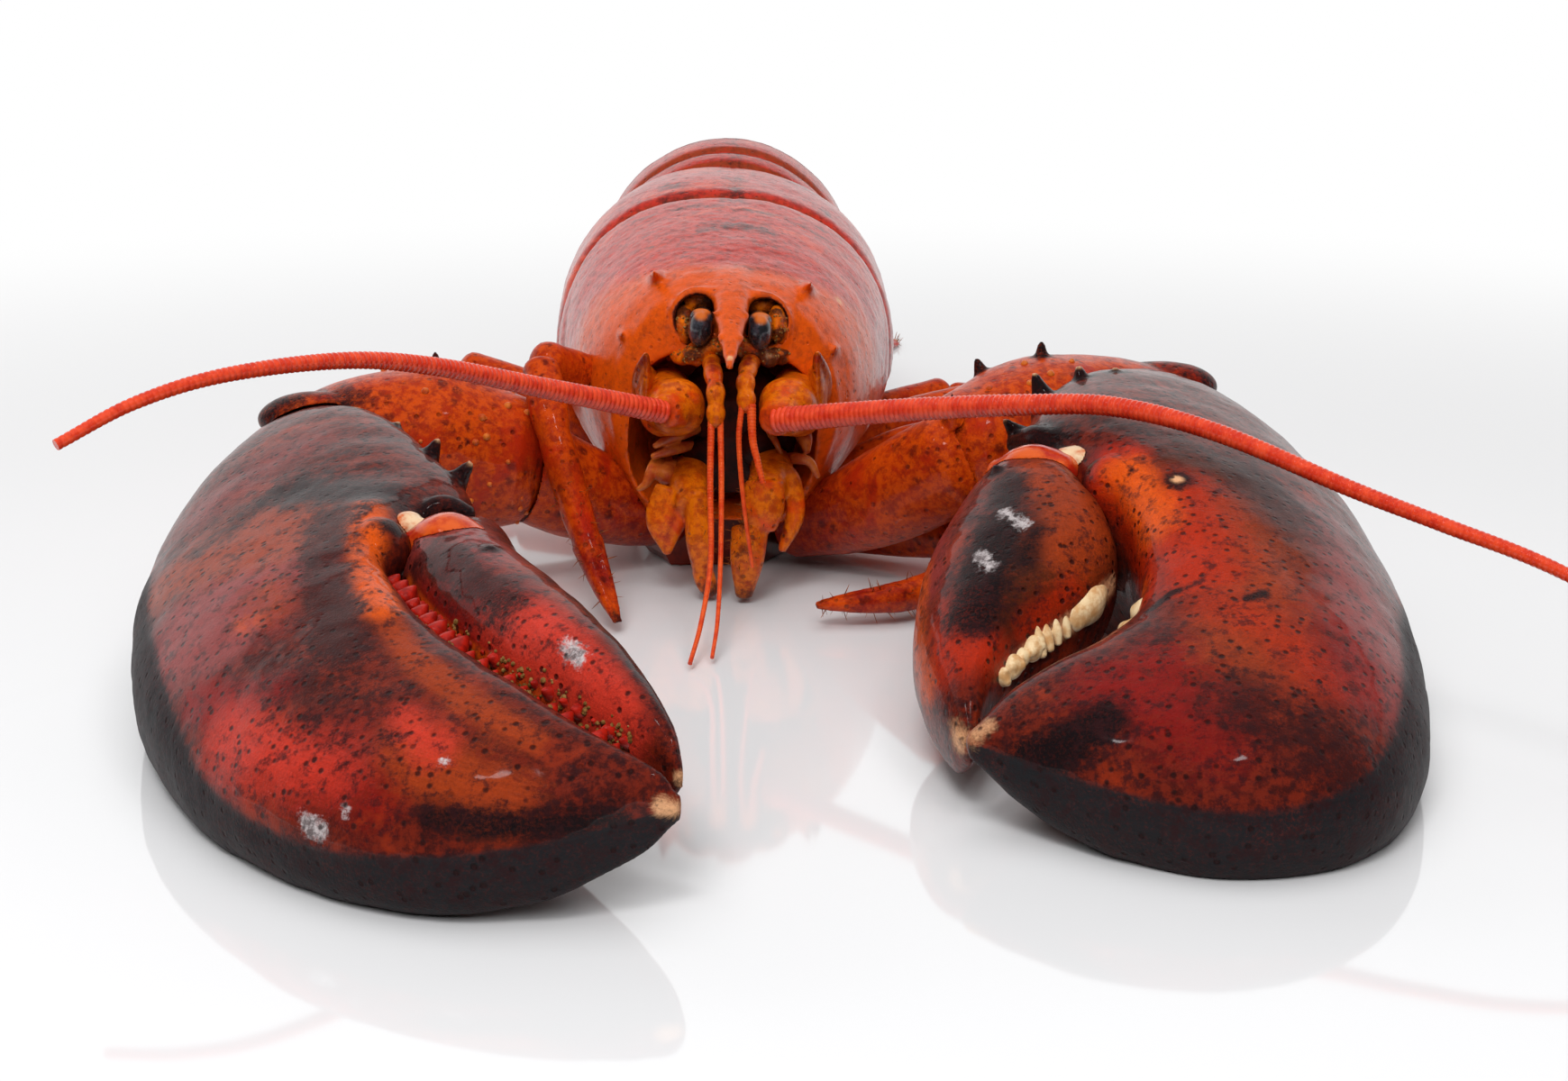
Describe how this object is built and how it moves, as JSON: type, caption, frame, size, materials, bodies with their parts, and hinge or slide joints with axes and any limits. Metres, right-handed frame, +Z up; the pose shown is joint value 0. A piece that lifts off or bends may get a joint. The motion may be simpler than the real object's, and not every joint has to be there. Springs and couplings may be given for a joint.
{
  "type": "cooked lobster",
  "caption": "Whole cooked lobster lying on its belly, with a broad crusher claw and a slim cutter claw laid out in front, long antennae, walking legs and a curled tail with a spread fan.",
  "frame": {"origin": "middle of the flat underside of the breastplate, on the table", "axes": "+Z up, -Y the way the head looks, +Y towards the tail fan, +X the side of the crusher claw"},
  "size_m": [0.2331, 0.339, 0.057],
  "materials": {
    "shell": "glossy red cooked shell",
    "claw_shell": "dark maroon cooked claw shell with charcoal margins",
    "limb_shell": "orange cooked shell of the limbs and mouthparts",
    "antenna": "red ringed antenna",
    "eye": "dark glossy eye"
  },
  "bodies": {
    "root": {"antenna_left": "antenna", "antenna_right": "antenna", "antenna_root_left": "limb_shell", "antenna_root_right": "limb_shell", "antenna_scale_left": "limb_shell", "antenna_scale_right": "limb_shell", "antennule_left": "limb_shell", "antennule_right": "limb_shell", "breastplate": "shell", "carapace": "shell", "crusher_arm": "limb_shell", "crusher_finger": "claw_shell", "crusher_palm": "claw_shell", "crusher_wrist": "limb_shell", "cutter_arm": "limb_shell", "cutter_finger": "claw_shell", "cutter_palm": "claw_shell", "cutter_wrist": "limb_shell", "eye_left": "eye", "eye_right": "eye", "fan_inner_left": "shell", "fan_inner_right": "shell", "fan_outer_left": "shell", "fan_outer_right": "shell", "jaw_leg_left": "limb_shell", "jaw_leg_right": "limb_shell", "leg_left_1_lower": "limb_shell", "leg_left_1_upper": "limb_shell", "leg_left_2_lower": "limb_shell", "leg_left_2_upper": "limb_shell", "leg_left_3_lower": "limb_shell", "leg_left_3_upper": "limb_shell", "leg_left_4_lower": "limb_shell", "leg_left_4_upper": "limb_shell", "leg_right_1_lower": "limb_shell", "leg_right_1_upper": "limb_shell", "leg_right_2_lower": "limb_shell", "leg_right_2_upper": "limb_shell", "leg_right_3_lower": "limb_shell", "leg_right_3_upper": "limb_shell", "leg_right_4_lower": "limb_shell", "leg_right_4_upper": "limb_shell", "mouth": "limb_shell", "tail_1": "shell", "tail_2": "shell", "tail_3": "shell", "tail_4": "shell", "tail_5": "shell", "tail_6": "shell", "telson": "shell"}
  },
  "joints": []
}
